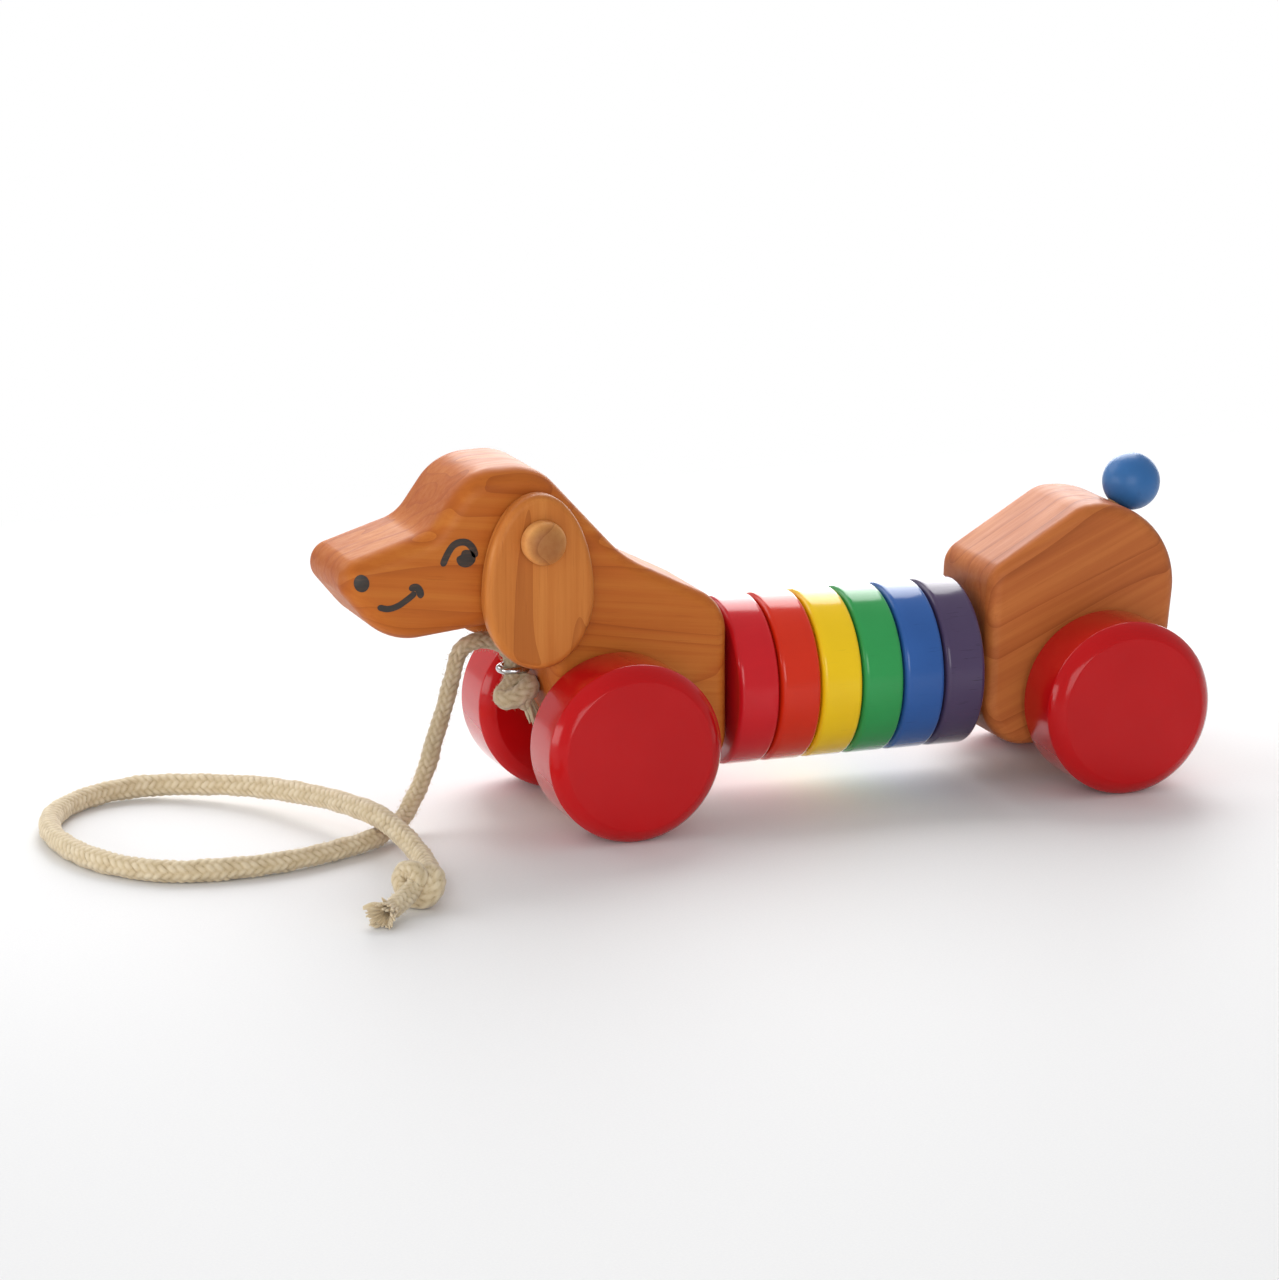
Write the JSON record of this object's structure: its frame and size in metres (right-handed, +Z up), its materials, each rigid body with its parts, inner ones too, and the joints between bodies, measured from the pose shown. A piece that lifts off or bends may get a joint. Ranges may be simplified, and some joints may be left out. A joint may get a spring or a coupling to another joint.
{
  "type": "wheeled pull toy",
  "caption": "Wooden dachshund pull toy on wheels: cherry head and rump blocks, loose painted discs on a spine dowel, swinging ears and a knotted cotton pull cord.",
  "frame": {"origin": "on the floor under the middle of the toy, nose to tail and side to side, cord left out", "axes": "+X from nose to tail, +Y toward the dog's right side, +Z up"},
  "size_m": [0.334, 0.1586, 0.1041],
  "materials": {
    "cherry_block": "satin oiled cherry",
    "cherry_ear": "satin oiled cherry",
    "peg_wood": "satin oiled",
    "dowel": "plain birch dowel",
    "wheel_paint": "gloss red paint on wood",
    "disc_red_paint": "semi-gloss paint on wood",
    "disc_orange_paint": "semi-gloss paint on wood",
    "disc_yellow_paint": "semi-gloss paint on wood",
    "disc_green_paint": "semi-gloss paint on wood",
    "disc_blue_paint": "semi-gloss paint on wood",
    "disc_purple_paint": "semi-gloss paint on wood",
    "ball_paint": "satin paint on wood",
    "zinc_steel": "bright zinc plated",
    "cotton_cord": "braided natural cotton"
  },
  "bodies": {
    "chassis": {"front_block": "cherry_block", "rear_block": "cherry_block", "spine_dowel": "dowel", "left_ear_peg": "peg_wood", "right_ear_peg": "peg_wood", "tail_ball": "ball_paint", "tail_peg": "dowel", "screw_eye": "zinc_steel", "pull_cord": "cotton_cord", "anchor_knot": "cotton_cord", "anchor_tail": "cotton_cord", "end_knot": "cotton_cord", "frayed_end": "cotton_cord"},
    "front_wheelset": {"front_axle": "dowel", "front_left_wheel": "wheel_paint", "front_right_wheel": "wheel_paint"},
    "rear_wheelset": {"rear_axle": "dowel", "rear_left_wheel": "wheel_paint", "rear_right_wheel": "wheel_paint"},
    "left_ear_body": {"left_ear": "cherry_ear"},
    "right_ear_body": {"right_ear": "cherry_ear"},
    "disc_red_body": {"disc_red": "disc_red_paint"},
    "disc_orange_body": {"disc_orange": "disc_orange_paint"},
    "disc_yellow_body": {"disc_yellow": "disc_yellow_paint"},
    "disc_green_body": {"disc_green": "disc_green_paint"},
    "disc_blue_body": {"disc_blue": "disc_blue_paint"},
    "disc_purple_body": {"disc_purple": "disc_purple_paint"}
  },
  "joints": [
    {"name": "front_wheels_roll", "type": "hinge", "parent": "chassis", "child": "front_wheelset", "pos_m": [-0.05, 0, 0.0254], "axis": [0, 1, 0], "continuous": true},
    {"name": "rear_wheels_roll", "type": "hinge", "parent": "chassis", "child": "rear_wheelset", "pos_m": [0.1006, 0, 0.0254], "axis": [0, 1, 0], "continuous": true},
    {"name": "left_ear_swing", "type": "hinge", "parent": "chassis", "child": "left_ear_body", "pos_m": [-0.0727, -0.023, 0.0848], "axis": [0, 1, 0], "continuous": true},
    {"name": "right_ear_swing", "type": "hinge", "parent": "chassis", "child": "right_ear_body", "pos_m": [-0.0727, 0.023, 0.0848], "axis": [0, 1, 0], "continuous": true},
    {"name": "disc_red_spin", "type": "hinge", "parent": "chassis", "child": "disc_red_body", "pos_m": [-0.0068, 0, 0.0344], "axis": [1, 0, 0], "continuous": true},
    {"name": "disc_orange_spin", "type": "hinge", "parent": "chassis", "child": "disc_orange_body", "pos_m": [0.0059, 0, 0.0344], "axis": [1, 0, 0], "continuous": true},
    {"name": "disc_yellow_spin", "type": "hinge", "parent": "chassis", "child": "disc_yellow_body", "pos_m": [0.0186, 0, 0.0344], "axis": [1, 0, 0], "continuous": true},
    {"name": "disc_green_spin", "type": "hinge", "parent": "chassis", "child": "disc_green_body", "pos_m": [0.0313, 0, 0.0344], "axis": [1, 0, 0], "continuous": true},
    {"name": "disc_blue_spin", "type": "hinge", "parent": "chassis", "child": "disc_blue_body", "pos_m": [0.044, 0, 0.0344], "axis": [1, 0, 0], "continuous": true},
    {"name": "disc_purple_spin", "type": "hinge", "parent": "chassis", "child": "disc_purple_body", "pos_m": [0.0567, 0, 0.0344], "axis": [1, 0, 0], "continuous": true}
  ]
}
